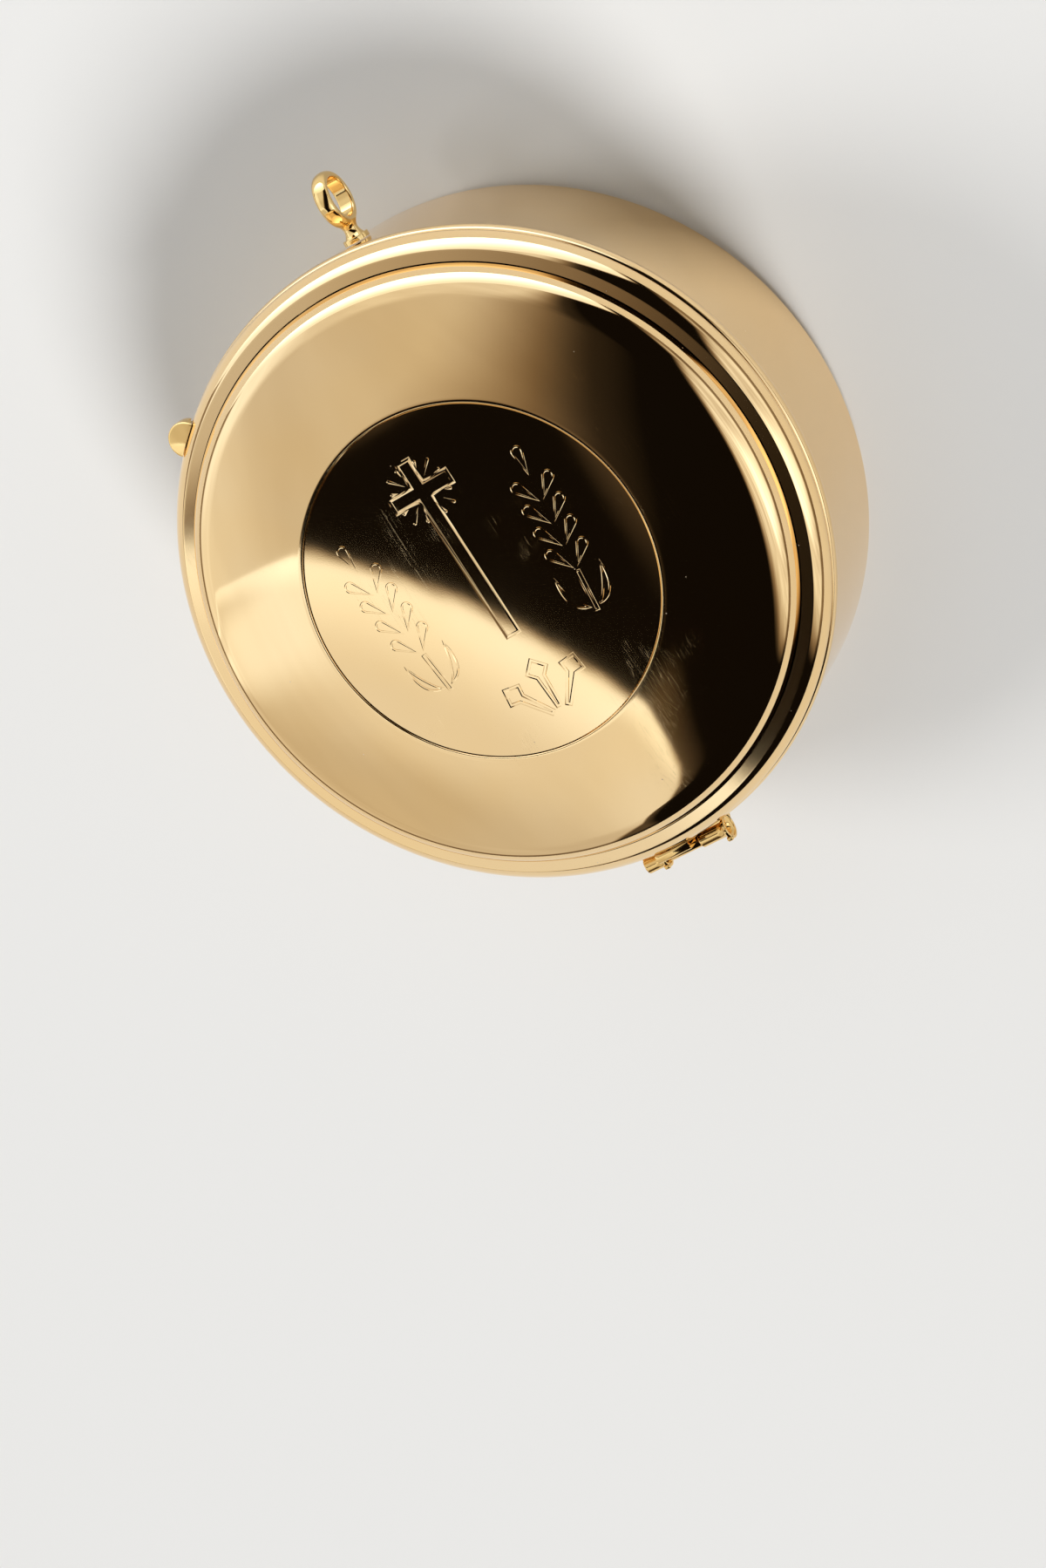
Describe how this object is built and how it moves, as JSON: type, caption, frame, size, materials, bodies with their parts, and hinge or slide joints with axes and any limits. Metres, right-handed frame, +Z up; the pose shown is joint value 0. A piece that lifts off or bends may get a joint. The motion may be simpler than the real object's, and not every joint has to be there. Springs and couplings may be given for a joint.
{
  "type": "pyx",
  "caption": "Round hinged altar-bread box in polished gold plate: shallow cup with stepped collar, domed lid with flat engraved medallion, rim rings, thumb tab, knuckle hinge and cord ring.",
  "frame": {"origin": "centre of the flat underside of the base", "axes": "+Z up out of the lid, +Y towards the hinge at the back, -Y towards the cord ring at the front"},
  "size_m": [0.056, 0.0638, 0.0206],
  "materials": {
    "shell_gold": "mirror-polished pale gold plate on brass, with hairline handling scratches",
    "medallion_gold": "mirror-polished gold-plated disc with fine engraved outlines",
    "fitting_gold": "polished gold plate, slightly yellower, with soldered joints"
  },
  "bodies": {
    "base": {"base_cup": "shell_gold", "base_rim_ring": "shell_gold", "bezel_collar": "shell_gold", "hinge_base_leaf": "fitting_gold", "hinge_pin": "fitting_gold", "ring_boss": "fitting_gold", "cord_ring": "fitting_gold"},
    "lid": {"lid_shell": "shell_gold", "lid_rim_ring": "shell_gold", "medallion_disc": "medallion_gold", "hinge_lid_leaf": "fitting_gold", "thumb_tab": "fitting_gold"}
  },
  "joints": [
    {"name": "lid_hinge", "type": "hinge", "parent": "base", "child": "lid", "pos_m": [0, 0.0288, 0.0139], "axis": [-1, 0, 0], "range_deg": [0, 180]}
  ]
}
